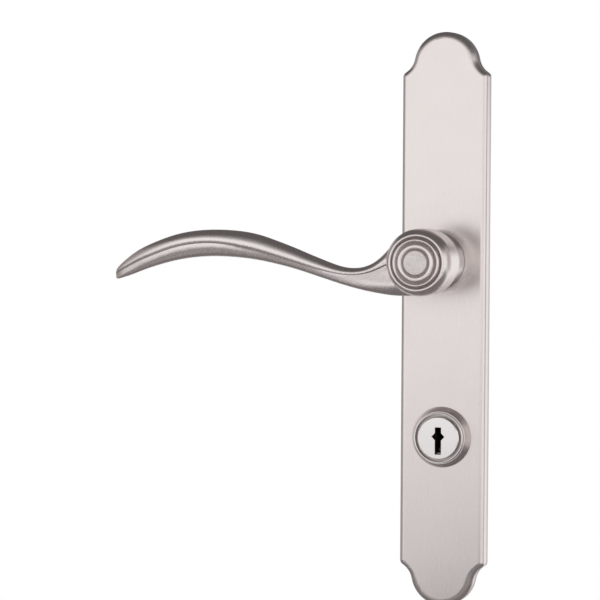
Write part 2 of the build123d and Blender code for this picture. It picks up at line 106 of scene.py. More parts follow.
camera = add_object("camera", bpy.data.cameras.new("camera"))
camera.data.lens = CAMERA_LENS
camera.data.clip_end = CAMERA_REACH
turn = look_axes(CAMERA_AZIMUTH, CAMERA_ELEVATION, CAMERA_ROLL)
camera.matrix_world = Matrix.LocRotScale(CAMERA_PLACE, turn.to_quaternion(), None)
bpy.context.scene.camera = camera
print("camera at", tuple(round(c, 3) for c in CAMERA_PLACE))

# %% [markdown]
# ## Nodes made short
#
# Every finish below is a small tree of shader nodes. A few helpers keep the trees
# readable: they add a node and set its sockets, start and end a material, make a
# ramp between two values, and join or mix what other nodes give.

# %% Add nodes to a tree


def add_node(tree, kind, properties=None, **sockets):
    """Add a node, set its properties, then set or link its inputs, by name or by number as i0, i1."""
    node = tree.nodes.new(kind)
    for name, value in (properties or {}).items():
        setattr(node, name, value)
    for name, value in sockets.items():
        numbered = name[0] == "i" and name[1:].isdigit()
        socket = node.inputs[int(name[1:]) if numbered else name]
        if isinstance(value, bpy.types.NodeSocket):
            tree.links.new(value, socket)
        else:
            socket.default_value = value
    return node


def new_material(name):
    material = bpy.data.materials.new(name)
    material.use_nodes = True
    material.node_tree.nodes.clear()
    return material, material.node_tree


def finish_tree(tree, shader):
    add_node(tree, "ShaderNodeOutputMaterial", Surface=shader)


def object_place(tree):
    return add_node(tree, "ShaderNodeTexCoord").outputs["Object"]


def noise(tree, place, scale, detail=2.0):
    return add_node(tree, "ShaderNodeTexNoise", Vector=place, Scale=scale, Detail=detail).outputs[0]


# %% Reckon, join and mix


def maths(tree, operation, first, second=0.0):
    return add_node(tree, "ShaderNodeMath", {"operation": operation}, i0=first, i1=second).outputs[0]


def vector_maths(tree, operation, *values):
    """One Vector Math node: LENGTH gives a number, the other operations give a vector."""
    sockets = {f"i{index}": value for index, value in enumerate(values)}
    node = add_node(tree, "ShaderNodeVectorMath", {"operation": operation}, **sockets)
    return node.outputs["Value" if operation == "LENGTH" else "Vector"]


def ramp(tree, value, start, end, shape="LINEAR"):
    """0 at start and before it, 1 at end and past it, straight or smooth between them."""
    shaped = {"interpolation_type": shape}
    limits = {"From Min": start, "From Max": end}
    return add_node(tree, "ShaderNodeMapRange", shaped, Value=value, **limits).outputs[0]


def join(tree, operation, *values):
    """Join values two by two: MULTIPLY where all must hold, MAXIMUM where one is enough."""
    total = values[0]
    for value in values[1:]:
        total = maths(tree, operation, total, value)
    return total


def mix_colour(tree, share, first, second):
    return add_node(tree, "ShaderNodeMix", {"data_type": "RGBA"}, i0=share, i6=first, i7=second).outputs[2]


def mix_shader(tree, share, first, second):
    return add_node(tree, "ShaderNodeMixShader", i0=share, i1=first, i2=second).outputs[0]


# %% [markdown]
# ## The studio
#
# Bare metal has no look of its own: it shows the room. A photographer puts white
# light in front of it and dark boards above, below and behind, so that each edge
# gets a dark line against the white paper. The same is done here. The boards are
# seen by reflections only, so they never hide the object or shade the floor.

# %% White surroundings
AMBIENT = 0.75
WHITE = (1, 1, 1, 1)
WHITE_RAYS = ("Is Camera Ray", "Is Glossy Ray", "Is Transmission Ray")

world = bpy.data.worlds.new("studio")
bpy.context.scene.world = world
world.use_nodes = True
tree = world.node_tree
tree.nodes.clear()
path = add_node(tree, "ShaderNodeLightPath")
seen = join(tree, "MAXIMUM", *(path.outputs[ray] for ray in WHITE_RAYS))
soft = add_node(tree, "ShaderNodeBackground", Color=WHITE, Strength=AMBIENT).outputs[0]
white = add_node(tree, "ShaderNodeBackground", Color=WHITE, Strength=1.0).outputs[0]
add_node(tree, "ShaderNodeOutputWorld", Surface=mix_shader(tree, seen, soft, white))
bpy.context.scene.view_settings.view_transform = "Standard"
print("light all round:", AMBIENT)

# %% A pale floor
FLOOR_DROP = 0.12
FLOOR_RADIUS = 0.85
FLOOR_SHIFT = -0.1
FLOOR_POINTS = 96
FLOOR_FADE = (0.35, 0.8)
PAPER = (0.92, 0.92, 0.92, 1)


def paper_floor():
    """Pale paper that turns to plain white towards its rim, by the distance from the object."""
    material, tree = new_material("pale floor")
    fade = ramp(tree, vector_maths(tree, "LENGTH", object_place(tree)), *FLOOR_FADE, "SMOOTHSTEP")
    paper = add_node(tree, "ShaderNodeBsdfDiffuse", Color=PAPER).outputs[0]
    white = add_node(tree, "ShaderNodeEmission", Color=WHITE, Strength=1.0).outputs[0]
    finish_tree(tree, mix_shader(tree, fade, paper, white))
    return material


floor_height = cad_box[0].z - FLOOR_DROP
angle = np.linspace(0, 2 * np.pi, FLOOR_POINTS, endpoint=False)
rim = np.stack([
    FLOOR_RADIUS * np.cos(angle),
    FLOOR_RADIUS * np.sin(angle) + FLOOR_SHIFT,
    np.full_like(angle, floor_height),
], axis=1)
floor_mesh = bpy.data.meshes.new("floor")
floor_mesh.from_pydata(rim.tolist(), [], [tuple(range(len(rim)))])
floor_mesh.materials.append(paper_floor())
floor = add_object("floor", floor_mesh)
print("floor at", round(floor_height, 4))

# %% Boards that only reflections see
BOARD_TINT = (1.06, 0.98, 0.975, 1)
# In each row: the centre, half the width, half the height, the soft share of both, the level
BOARDS = {
    "board_above": ((0, 0.225, 0.45), (1.3, 0, 0), (0, 1.875, 0), (0.5, 0.72), 0.115),
    "board_below": ((0, 0.05, -0.255), (1.0, 0, 0), (0, 0.39, 0), (0.5, 0.65), 0.18),
    "board_below_left": ((-0.6, -0.35, -0.256), (0.45, 0, 0), (0, 0.4, 0), (0.25, 0.5), 0.20),
    "board_left": ((-0.75, 0.15, 0.1), (0, 0.9, 0), (0, 0, 0.6), (0.5, 0.4), 0.32),
    "board_behind": ((-0.25, 0.8, 0.0), (0.45, 0, 0), (0, 0, 0.5), (0.5, 0.5), 0.22),
    "board_high_behind": ((0.05, 0.85, 0.40), (0.6, 0, 0), (0, 0, 0.32), (0.4, 0.4), 0.15),
    "board_right": ((0.75, -0.75, 0.0), (0.3, 0.3, 0), (0, 0, 0.5), (0.5, 0.5), 0.80),
    "board_far_right": ((0.67, 0.45, 0.15), (-0.2, 0.3, 0), (0, 0, 0.5), (0.5, 0.4), 0.45),
    "board_low_front": ((0.36, -1.0, -0.31), (0.9, 0, 0), (0, 0, 0.17), (0.6, 0.9), 0.10),
    "board_near_foot": ((0.07, -0.2, -0.19), (0.2, 0, 0), (0, 0.16, 0), (0.5, 0.6), 0.12),
    "board_front_floor": ((0.22, -1.14, -0.257), (0.72, 0, 0), (0, 0.27, 0), (0.3, 0.3), 0.10),
}


def soft_board_material(name, level, softness):
    """Glow of one level that fades out over a share of each half width, and is gone where |2u - 1| is 1."""
    material, tree = new_material(name)
    place = add_node(tree, "ShaderNodeTexCoord").outputs["UV"]
    centred = vector_maths(tree, "MULTIPLY_ADD", place, (2, 2, 0), (-1, -1, 0))
    axes = add_node(tree, "ShaderNodeSeparateXYZ", Vector=vector_maths(tree, "ABSOLUTE", centred))
    fades = [ramp(tree, axes.outputs[axis], 1, 1 - share) for axis, share in zip("XY", softness)]
    clear = add_node(tree, "ShaderNodeBsdfTransparent").outputs[0]
    glow = add_node(tree, "ShaderNodeEmission", Color=BOARD_TINT, Strength=level).outputs[0]
    finish_tree(tree, mix_shader(tree, join(tree, "MULTIPLY", *fades), clear, glow))
    return material


def board(name, centre, across, along, material):
    """Flat rectangle: centre plus u times across plus v times along, u and v from -1 to 1."""
    u, v = np.array([(-1, -1), (1, -1), (1, 1), (-1, 1)]).T
    points = np.array(centre) + np.outer(u, across) + np.outer(v, along)
    mesh = bpy.data.meshes.new(name)
    mesh.from_pydata(points.tolist(), [], [(0, 1, 2, 3)])
    corners = (np.stack([u, v], axis=1) + 1) / 2
    mesh.uv_layers.new().data.foreach_set("uv", corners.ravel())
    mesh.materials.append(material)
    made = add_object(name, mesh)
    return made


for name, (centre, across, along, softness, level) in BOARDS.items():
    one = board(name, centre, across, along, soft_board_material(name, level, softness))
    one.visible_camera = False
    one.visible_diffuse = False
    one.visible_shadow = False
    one.visible_transmission = False
print("boards:", len(BOARDS))

# %% One soft lamp
LAMP_PLACE = Vector((0.7, -1.0, 1.1))
LAMP_TARGET = Vector((0, 0, -0.02))
LAMP_SIZE = 0.8
LAMP_WATTS = 12.0

lamp = bpy.data.lights.new("key_lamp", "AREA")
lamp.shape = "DISK"
lamp.size = LAMP_SIZE
lamp.energy = LAMP_WATTS
key_lamp = add_object("key_lamp", lamp)
aim = (LAMP_TARGET - LAMP_PLACE).to_track_quat("-Z", "Y")
key_lamp.matrix_world = Matrix.LocRotScale(LAMP_PLACE, aim, None)
key_lamp.visible_glossy = False
print("lamp:", LAMP_WATTS, "watts")

# %% [markdown]
# ## Grain
#
# A finish is made of very fine marks, and the marks follow the tool: straight
# strokes on the plate and the grip, rings on everything that was turned. Each
# helper below gives a place for a noise pattern, stretched along the strokes.

# %% Straight strokes and turned rings
MM = 0.001
FINE = 3500.0
LONG = 90.0
HUB_RADIUS = 13.7 * MM
HUB_FADE = 0.4 * MM
plug_low, plug_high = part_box("key_plug")
key_height = (plug_low.z + plug_high.z) / 2


def axis_radius(tree, height):
    """Distance from an axis that runs along Y at a height."""
    local = vector_maths(tree, "ADD", object_place(tree), (0, 0, -height))
    return vector_maths(tree, "LENGTH", vector_maths(tree, "MULTIPLY", local, (1, 0, 1)))


def axis_depth(tree):
    """Place along Y, which grows from the front towards the door."""
    return add_node(tree, "ShaderNodeSeparateXYZ", Vector=object_place(tree)).outputs["Y"]


def straight_grain(tree, scale):
    """Object place times a scale for each axis: small along the stroke, large across it."""
    return add_node(tree, "ShaderNodeMapping", Vector=object_place(tree), Scale=scale).outputs[0]


def turned_grain(tree, height):
    """Distance from the turning axis and depth along it, so that the marks are rings."""
    pair = add_node(tree, "ShaderNodeCombineXYZ", X=axis_radius(tree, height), Y=axis_depth(tree)).outputs[0]
    return vector_maths(tree, "MULTIPLY", pair, (FINE, FINE, FINE))


def even_grain(tree):
    return straight_grain(tree, (FINE, FINE, FINE))


def plate_grain(tree):
    return straight_grain(tree, (FINE, FINE, LONG))


def lever_rings(tree):
    return turned_grain(tree, 0)


def key_rings(tree):
    return turned_grain(tree, key_height)


def lever_grain(tree):
    """Rings on the hub and the neck, strokes along the grip."""
    on_hub = ramp(tree, axis_radius(tree, 0), HUB_RADIUS + HUB_FADE, HUB_RADIUS)
    strokes = straight_grain(tree, (LONG, FINE, FINE))
    mixed = add_node(tree, "ShaderNodeMix", {"data_type": "VECTOR"},
                     i0=on_hub, i4=strokes, i5=lever_rings(tree))
    return mixed.outputs[1]


print("key axis at height", round(key_height, 4))

# %% [markdown]
# ## Places that look different
#
# One casting can carry several finishes, and some places here get painted shade.
# The hub's grooves get painted shade, its disc is left coarse, the keyway and the
# gaps round the plug's face are painted dark as shade, and so is the plate's side
# next to the door. Each place is told by its distance from an axis or its depth
# behind a face. A pair of sizes says where a mask is 0 and where it is 1.

# %% Masks on the hub
GROOVE_RADII = (5.35 * MM, 8.05 * MM, 10.3 * MM)
GROOVE_FADE = (0.88 * MM, 0.165 * MM)
HUB_FACE_FADE = (4.5 * MM, 4.05 * MM)
DISC_RADIUS = 4.75 * MM
DISC_FADE = (1.02 * DISC_RADIUS, 0.98 * DISC_RADIUS)
DISC_FACE_FADE = (0.4 * MM, 0.3 * MM)
SPECK_SCALE = 0.6
SPECK_RANGE = (0.2, 0.8)
hub_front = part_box("lever")[0].y


def by_depth(tree, face, start, end):
    """Ramp over the depth behind a face."""
    return ramp(tree, axis_depth(tree), face + start, face + end)


def hub_groove_shade(tree):
    """Painted shade: bands round the grooves' radii, on the front of the hub only."""
    radius = axis_radius(tree, 0)
    bands = []
    for middle in GROOVE_RADII:
        away = maths(tree, "ABSOLUTE", maths(tree, "SUBTRACT", radius, middle))
        bands.append(ramp(tree, away, *GROOVE_FADE))
    in_front = by_depth(tree, hub_front, *HUB_FACE_FADE)
    return join(tree, "MULTIPLY", join(tree, "MAXIMUM", *bands), in_front)


def hub_disc(tree):
    """Speckles all over the disc in the middle of the hub."""
    in_disc = ramp(tree, axis_radius(tree, 0), *DISC_FADE)
    in_front = by_depth(tree, hub_front, *DISC_FACE_FADE)
    specks = ramp(tree, noise(tree, even_grain(tree), SPECK_SCALE), *SPECK_RANGE)
    return join(tree, "MULTIPLY", in_disc, in_front, specks)


print("places:", len(GROOVE_RADII), "grooves round the hub")

# %% Masks on the key cylinder
KEYWAY_HALF_WIDTH = (3.1 * MM, 3.0 * MM)
KEYWAY_HALF_HEIGHT = (7.4 * MM, 7.3 * MM)
KEYWAY_SHADE = (0.05 * MM, 0.5 * MM)
PLUG_WALL = (8.7 * MM, 8.8 * MM)
RECESS_WALL = (10.0 * MM, 9.97 * MM)
GAP_SHADE = (0.2 * MM, 0.6 * MM)
housing_low, housing_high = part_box("cylinder_housing")


def keyhole_shade(tree):
    """Painted shade: a box inside the plug, behind its front face and as wide as the keyway with its bulge.
    """
    axes = add_node(tree, "ShaderNodeSeparateXYZ", Vector=object_place(tree))
    aside = maths(tree, "ABSOLUTE", axes.outputs["X"])
    above = maths(tree, "ABSOLUTE", maths(tree, "SUBTRACT", axes.outputs["Z"], key_height))
    in_width = ramp(tree, aside, *KEYWAY_HALF_WIDTH)
    in_height = ramp(tree, above, *KEYWAY_HALF_HEIGHT)
    return join(tree, "MULTIPLY", in_width, in_height, by_depth(tree, plug_low.y, *KEYWAY_SHADE))


def plug_gap_shade(tree):
    """Painted shade on the side wall of the plug's round head, in the ring shaped gap round its face."""
    wall = ramp(tree, axis_radius(tree, key_height), *PLUG_WALL)
    return join(tree, "MULTIPLY", wall, by_depth(tree, plug_low.y, *GAP_SHADE))


def recess_shade(tree):
    """Painted shade inside the housing, behind its front rim."""
    wall = ramp(tree, axis_radius(tree, key_height), *RECESS_WALL)
    return join(tree, "MULTIPLY", wall, by_depth(tree, housing_low.y, *GAP_SHADE))


print("plug face at depth", round(plug_low.y, 4))

# %% Masks on the plate
LUG_REACH = (15.8 * MM, 15.6 * MM)
LUG_FADE = (-0.1 * MM, 0)
HOLLOW_BAND = (0.15 * MM, 0.05 * MM)
RIM_FADE = (-3.2 * MM, -1.8 * MM)
hollow_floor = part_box("lower_post")[0].y


def cast_inside(tree):
    """Floor of the hollow back, told by its depth, and the lugs round the lever's axis."""
    lugs = join(tree, "MULTIPLY", ramp(tree, axis_radius(tree, 0), *LUG_REACH),
                by_depth(tree, hollow_floor, *LUG_FADE))
    before = by_depth(tree, hollow_floor, *(-size for size in HOLLOW_BAND))
    after = by_depth(tree, hollow_floor, *HOLLOW_BAND)
    return join(tree, "MAXIMUM", lugs, join(tree, "MULTIPLY", before, after))


def door_rim_shade(tree):
    """Painted shade on the last of the plate's side towards the door, darker towards the door."""
    return by_depth(tree, 0, *RIM_FADE)


print("hollow's floor at depth", round(hollow_floor, 4))

# %% [markdown]
# ## Metals
#
# A metal shader has a colour and a roughness. Real plating is never quite even,
# so a slow noise shifts the colour a little, and the fine grain moves both the
# roughness and a bump of two thousandths of a millimetre or less.

# %% One metal, many finishes
MARK_RANGE = (0.3, 0.7)
CLOUD_SCALE = 70.0
CLOUD_DETAIL = 3.0
BUMP_STRENGTH = 0.5


def metal(name, colour, roughness, grain, spread=0.03, depth=0.002 * MM, cloud=0.03, patches=()):
    """Metal: grain moves roughness and height, clouds move the colour, patches change their places."""
    material, tree = new_material(name)
    marks = noise(tree, grain(tree), 1.0)
    limits = {"From Min": MARK_RANGE[0], "From Max": MARK_RANGE[1],
              "To Min": roughness - spread, "To Max": roughness + spread}
    rough = add_node(tree, "ShaderNodeMapRange", Value=marks, **limits).outputs[0]
    bump = add_node(tree, "ShaderNodeBump", Height=marks, Strength=BUMP_STRENGTH, Distance=depth)
    clouds = noise(tree, object_place(tree), CLOUD_SCALE, CLOUD_DETAIL)
    dim = tuple(c * (1 - cloud) for c in colour)
    light = tuple(min(1.0, c * (1 + cloud)) for c in colour)
    tone = mix_colour(tree, clouds, (*dim, 1), (*light, 1))
    for mask_of, patch_colour, patch_roughness in patches:
        mask = mask_of(tree)
        tone = mix_colour(tree, mask, tone, (*patch_colour, 1))
        rough = add_node(tree, "ShaderNodeMix", {"data_type": "FLOAT"},
                         i0=mask, i2=rough, i3=patch_roughness).outputs[0]
    shader = add_node(tree, "ShaderNodeBsdfPrincipled", **{
        "Base Color": tone, "Metallic": 1.0, "Roughness": rough, "Normal": bump.outputs[0]})
    finish_tree(tree, shader.outputs[0])
    return material


# %% Satin and bright nickel
SATIN = (0.84, 0.782, 0.764)
BRIGHT = (0.90, 0.872, 0.862)
# Warm grey for the painted shade in the gap round the plug's face
GAP_SHADE_COLOUR = (0.72, 0.655, 0.635)
# Near black for the painted shade inside the keyway
KEYHOLE_SHADE_COLOUR = (0.045, 0.036, 0.034)


def part_way(colour, share):
    return tuple(c * share for c in colour)


# The plate: a duller cast inside, and painted shade on its side next to the door
plate_nickel = metal(
    "satin nickel plate", SATIN, roughness=0.28, grain=plate_grain, spread=0.008, depth=0.0003 * MM,
    patches=((cast_inside, part_way(SATIN, 0.6), 0.55), (door_rim_shade, part_way(SATIN, 0.75), 0.4)))
# The lever's disc is left coarse, and its hub's grooves get painted shade
lever_nickel = metal(
    "satin nickel lever", SATIN, roughness=0.27, grain=lever_grain, spread=0.015, depth=0.0006 * MM,
    patches=((hub_disc, part_way(SATIN, 0.7), 0.5), (hub_groove_shade, part_way(SATIN, 0.8), 0.4)))
# The rose is the plate's satin nickel made darker: painted shade
rose_nickel_shaded = metal("satin nickel rose with painted shade", part_way(SATIN, 0.78), roughness=0.26, grain=lever_rings)
# The trim ring is the plate's satin nickel made darker: painted shade
collar_nickel_shaded = metal("satin nickel collar with painted shade", part_way(SATIN, 0.82), roughness=0.26, grain=key_rings)
# The plug: painted shade in its keyway, and on its head's side in the gap round its face
plug_nickel = metal("bright nickel plug", BRIGHT, roughness=0.20, grain=key_rings,
                    patches=((keyhole_shade, KEYHOLE_SHADE_COLOUR, 0.7), (plug_gap_shade, GAP_SHADE_COLOUR, 0.45)))
# The housing: painted shade inside it, behind its front rim
housing_nickel = metal("bright nickel housing", BRIGHT, roughness=0.22, grain=key_rings,
                       patches=((recess_shade, GAP_SHADE_COLOUR, 0.45),))
print("nickel on the plate:", SATIN)

# %% Steel and brass inside
ZINC = (0.60, 0.61, 0.62)
STEEL = (0.30, 0.30, 0.31)
# Brass made near black: painted shade for the wafers deep in the keyway
SHADED_BRASS = (0.16, 0.12, 0.06)

zinc_steel = metal("zinc plated steel", ZINC, roughness=0.35, grain=even_grain, spread=0.08, cloud=0.10)
spring_steel = metal("spring steel", STEEL, roughness=0.35, grain=even_grain, spread=0.06, cloud=0.08)
# The brass is painted dark as shade
brass = metal("brass with painted shade", SHADED_BRASS, roughness=0.45, grain=even_grain, spread=0.06, cloud=0.12)
print("zinc on the hidden steel:", ZINC)

# %% [markdown]
# ## Nylon
#
# The bush and the thrust washer are natural nylon: waxy, off-white, and a little
# uneven where the plastic flowed into its mould. It isn't a metal, so it gets its
# own short tree. Then every piece gets the finish of its material, or its own.

# %% Nylon
NYLON_DIM = (0.76, 0.73, 0.65, 1)
NYLON_LIGHT = (0.86, 0.84, 0.78, 1)
NYLON_ROUGHNESS = 0.45
NYLON_CLOUDS = 160.0
NYLON_MARKS = 2500.0
NYLON_BUMP = 0.008 * MM


def moulded_nylon():
    """Off-white plastic with slow clouds in its colour and a fine bump from the mould."""
    material, tree = new_material("natural nylon")
    place = object_place(tree)
    tone = mix_colour(tree, noise(tree, place, NYLON_CLOUDS), NYLON_DIM, NYLON_LIGHT)
    marks = noise(tree, place, NYLON_MARKS)
    bump = add_node(tree, "ShaderNodeBump", Height=marks, Strength=BUMP_STRENGTH, Distance=NYLON_BUMP)
    shader = add_node(tree, "ShaderNodeBsdfPrincipled", **{
        "Base Color": tone, "Roughness": NYLON_ROUGHNESS, "Normal": bump.outputs[0]})
    finish_tree(tree, shader.outputs[0])
    return material


# %% Every finish on its pieces
slots = {
    "satin_nickel": plate_nickel, "bright_nickel": plug_nickel, "zinc_steel": zinc_steel,
    "spring_steel": spring_steel, "brass": brass, "nylon": moulded_nylon(),
}
own = {
    "lever": lever_nickel, "lever_rose": rose_nickel_shaded, "cylinder_collar": collar_nickel_shaded,
    "cylinder_housing": housing_nickel,
}
slot_of = {part["node"]: part["material_slot"] for part in frame["record"]["subparts"]}
for node, slot in slot_of.items():
    mesh = nodes[node].data
    mesh.materials.clear()
    mesh.materials.append(own.get(node, slots[slot]))
print("finishes:", ", ".join(slots))

# %% [markdown]
# ## Softer castings
#
# Polishing rounds a casting more than its drawing says, and on this one the plate's
# front edge and the rings of the hub are soft. A bevel modifier needs clean edge
# loops, which a CAD mesh doesn't have. Here a copy of the mesh is moved by a formula
# instead, and every normal that the formula turns is turned with it.

# %% A copy of a CAD mesh, as arrays


def cad_arrays(node):
    """Points with their doubles merged, triangles, and the normal at each corner of a triangle."""
    mesh = nodes[node].data
    place = np.empty(len(mesh.vertices) * 3)
    corner = np.empty(len(mesh.loops), dtype=np.int32)
    normal = np.empty(len(mesh.loops) * 3)
    mesh.vertices.foreach_get("co", place)
    mesh.loops.foreach_get("vertex_index", corner)
    mesh.corner_normals.foreach_get("vector", normal)
    points, merged = np.unique(place.reshape(-1, 3), axis=0, return_inverse=True)
    triangles = merged.ravel()[corner].reshape(-1, 3)
    whole = np.all(triangles != np.roll(triangles, 1, axis=1), axis=1)
    return points, triangles[whole], normal.reshape(-1, 3, 3)[whole]


def normal_sums(points, triangles, normals):
    """Sum of the corner normals at each point."""
    total = np.zeros_like(points)
    np.add.at(total, triangles, normals)
    return total


def recast(name, points, triangles, normals):
    """Smooth mesh from arrays, with its own normal at every corner."""
    mesh = bpy.data.meshes.new(name)
    mesh.from_pydata(points.tolist(), [], triangles.tolist())
    mesh.shade_smooth()
    mesh.normals_split_custom_set(normals.reshape(-1, 3).tolist())
    return add_object(name, mesh)


def dress(piece, node, body, material):
    piece.data.materials.append(material)
    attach(piece, body)
    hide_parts(node)
    print(node, "now has", len(piece.data.polygons), "faces")


# %% The plate's front edge
FACE_ROUND = 1.7 * MM
SIDE_GROWTH = 0.5 * MM
DOME_GROWTH = 0.75 * MM
GROWTH_START = 2.0 * MM
GROWTH_RUN = 5.0 * MM
HOLE_REACH = 16.0 * MM
BACKWARD = 0.5
NEAR = 0.01 * MM
NEARNESS = -4.0
TINY = 0.02


def softer_edge(points, triangles, normals):
    """Grow the front round by g: a point with normal n and outward side s moves by g (n - s + y)."""
    x, y, z = points.T
    front = y.min()
    facing = np.full(len(points), -1.0)
    np.maximum.at(facing, triangles, normals[..., 1])
    off_holes = np.minimum(np.hypot(x, z), np.hypot(x, z - key_height)) > HOLE_REACH
    moving = np.flatnonzero(off_holes & (facing < BACKWARD) & (y < front + FACE_ROUND + NEAR))
    cosine = 1 - np.clip((y[moving] - front) / FACE_ROUND, 0, 1)
    sine = np.sqrt(1 - cosine ** 2)
    place = points[moving][:, [0, 2]]
    side = normal_sums(points, triangles, normals)[moving][:, [0, 2]]
    side /= np.maximum(np.linalg.norm(side, axis=1, keepdims=True), TINY)
    # A flat point has no side of its own, so it takes that of the round's points near it
    on_round = sine > TINY
    foot = (place - FACE_ROUND * sine[:, None] * side)[on_round]
    away = np.linalg.norm(place[~on_round][:, None] - foot, axis=2)
    side[~on_round] = (away + NEAR) ** NEARNESS @ side[on_round]
    side[~on_round] /= np.linalg.norm(side[~on_round], axis=1, keepdims=True)
    straight = np.abs(x) > x.max() - NEAR
    past = np.maximum(z[moving] - z[straight].max(), z[straight].min() - z[moving])
    growth = SIDE_GROWTH + DOME_GROWTH * np.clip((past - GROWTH_START) / GROWTH_RUN, 0, 1)
    moved = points.copy()
    moved[moving] += growth[:, None] * np.stack([
        (sine - 1) * side[:, 0], 1 - cosine, (sine - 1) * side[:, 1]], axis=1)
    print("plate edge:", len(moving), "points moved")
    return moved


points, triangles, normals = cad_arrays("escutcheon")
plate = recast("polished_plate", softer_edge(points, triangles, normals), triangles, normals)
dress(plate, "escutcheon", "plate_body", plate_nickel)

# %% The hub's rings
# In each row: the bead's middle, half its width, and the drop at its edges
BEADS = ((6.7 * MM, 0.85 * MM, 0.1 * MM), (9.25 * MM, 0.65 * MM, 0.25 * MM))
SHOULDER_START = 10.85 * MM
SHOULDER_CORNER = 12.3 * MM
SHOULDER_END = 13.2 * MM
SHOULDER_DROP = 0.75 * MM
HUB_SPAN = 6.0 * MM
SLOPE_STEP = 0.001 * MM
INWARD = 0.02


def face_rings(x, z):
    """Drop of the hub's face: a parabola on each bead, straight runs between, a square over the border."""
    radius = np.hypot(x, z)
    middles, halves, drops = np.array(BEADS).T
    edges = np.stack([middles - halves, middles + halves], axis=1).ravel()
    total = np.interp(radius, [DISC_RADIUS, *edges, SHOULDER_START], [0, *np.repeat(drops, 2), 0])
    for middle, half, drop in BEADS:
        total = total - drop * np.clip(1 - ((radius - middle) / half) ** 2, 0, 1)
    out = np.clip((radius - SHOULDER_START) / (SHOULDER_CORNER - SHOULDER_START), 0, 1)
    back = np.clip((SHOULDER_END - radius) / (SHOULDER_END - SHOULDER_CORNER), 0, 1)
    return total + SHOULDER_DROP * out ** 2 * back


def press(points, triangles, normals, drop, chosen):
    """Move y to y + f(x, z) at the chosen points, and take n_y times the slope of f from each normal."""
    moved = points.copy()
    moved[:, 1] += np.where(chosen, drop(points[:, 0], points[:, 2]), 0)
    corner = points[triangles]
    inside = corner + INWARD * (corner.mean(axis=1, keepdims=True) - corner)
    x, z = inside[..., 0], inside[..., 2]
    slope = np.zeros_like(corner)
    slope[..., 0] = (drop(x + SLOPE_STEP, z) - drop(x - SLOPE_STEP, z)) / (2 * SLOPE_STEP)
    slope[..., 2] = (drop(x, z + SLOPE_STEP) - drop(x, z - SLOPE_STEP)) / (2 * SLOPE_STEP)
    turned = normals - np.where(chosen[triangles][..., None], slope * normals[..., 1:2], 0)
    turned /= np.linalg.norm(turned, axis=-1, keepdims=True)
    return moved, turned


points, triangles, normals = cad_arrays("lever")
on_hub = points[:, 1] < hub_front + HUB_SPAN
points, normals = press(points, triangles, normals, face_rings, on_hub)
print("hub:", on_hub.sum(), "points pressed")

# %% [markdown]
# ## The grip's lower band
#
# Under its crease the grip is a little hollow along its middle, so the band there
# stays dark, while nearer the tip it catches the light. The band could be modelled
# again as a surface of its own. Pressing the copy in by less than 0.15 mm is enough,
# because a reflection follows the slope of a surface more than its place.

# %% A hollow under the crease
BAND_RUN = 3.0 * MM
BAND_SHARES = (0.28, 0.36, 0.54, 0.63)
BAND_SLOPES = (0, 0.32, 0.32, 0)
GRIP_START = 0.22
AGREEMENT = 0.97
FORWARD = -0.05

lever_reach = -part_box("lever")[0].x
total = normal_sums(points, triangles, normals)
count = np.bincount(triangles.ravel(), minlength=len(points))
agreement = np.linalg.norm(total, axis=1) / count
on_crease = (agreement < AGREEMENT) & (points[:, 0] < -GRIP_START * lever_reach)
crease_x, crease_z = points[on_crease][np.argsort(points[on_crease, 0])][:, [0, 2]].T
print("crease:", on_crease.sum(), "points")


def lower_band(x, z):
    """Hollow of slope s times the run times u (1 - u)^2, where u is the share of the run below the crease."""
    slope = np.interp(-x / lever_reach, BAND_SHARES, BAND_SLOPES)
    u = np.clip((np.interp(x, crease_x, crease_z) - z) / BAND_RUN, 0, 1)
    return slope * BAND_RUN * u * (1 - u) ** 2


points, normals = press(points, triangles, normals, lower_band, total[:, 1] < FORWARD * count)
lever = recast("polished_lever", points, triangles, normals)
dress(lever, "lever", "lever_body", lever_nickel)

# %% [markdown]
# ## Skins round an axis
#
# The fine forms that a CAD model leaves out are threads, rounded rims and the
# chamfers of a nut. All of them are skins round an axis, so one grid of points
# serves for every piece: rows follow the outline, columns go round the axis.

# %% A grid of points made into a closed skin
COLUMNS = 96
DOUBLES = 0.0001 * MM
SHARP_ANGLE = math.radians(38)
around = np.linspace(0, 2 * np.pi, COLUMNS, endpoint=False)


def skin(name, points, loop):
    """Grid of points, closed round its columns, and closed round its rows or capped at both ends."""
    rows, columns = points.shape[:2]
    here = np.arange(rows * columns).reshape(rows, columns)
    caps = [] if loop else [here[0, ::-1], here[-1]]
    if loop:
        here = np.vstack([here, here[:1]])
    beside = np.roll(here, -1, axis=1)
    quads = np.stack([here[:-1], beside[:-1], beside[1:], here[1:]], axis=-1).reshape(-1, 4)
    flat = points.reshape(-1, 3)
    # The signed volume tells whether the faces point outwards
    corner = flat[quads] - flat.mean(axis=0)
    volume = np.sum(corner[:, 0] * np.cross(corner[:, 1], corner[:, 2]))
    volume += np.sum(corner[:, 0] * np.cross(corner[:, 2], corner[:, 3]))
    way = 1 if volume > 0 else -1
    faces = quads[:, ::way].tolist() + [cap[::way].tolist() for cap in caps]
    mesh = bpy.data.meshes.new(name)
    mesh.from_pydata(flat.tolist(), [], faces)
    merged = bmesh.new()
    merged.from_mesh(mesh)
    bmesh.ops.remove_doubles(merged, verts=merged.verts, dist=DOUBLES)
    merged.to_mesh(mesh)
    merged.free()
    mesh.shade_smooth()
    mesh.set_sharp_from_angle(angle=SHARP_ANGLE)
    return add_object(name, mesh)


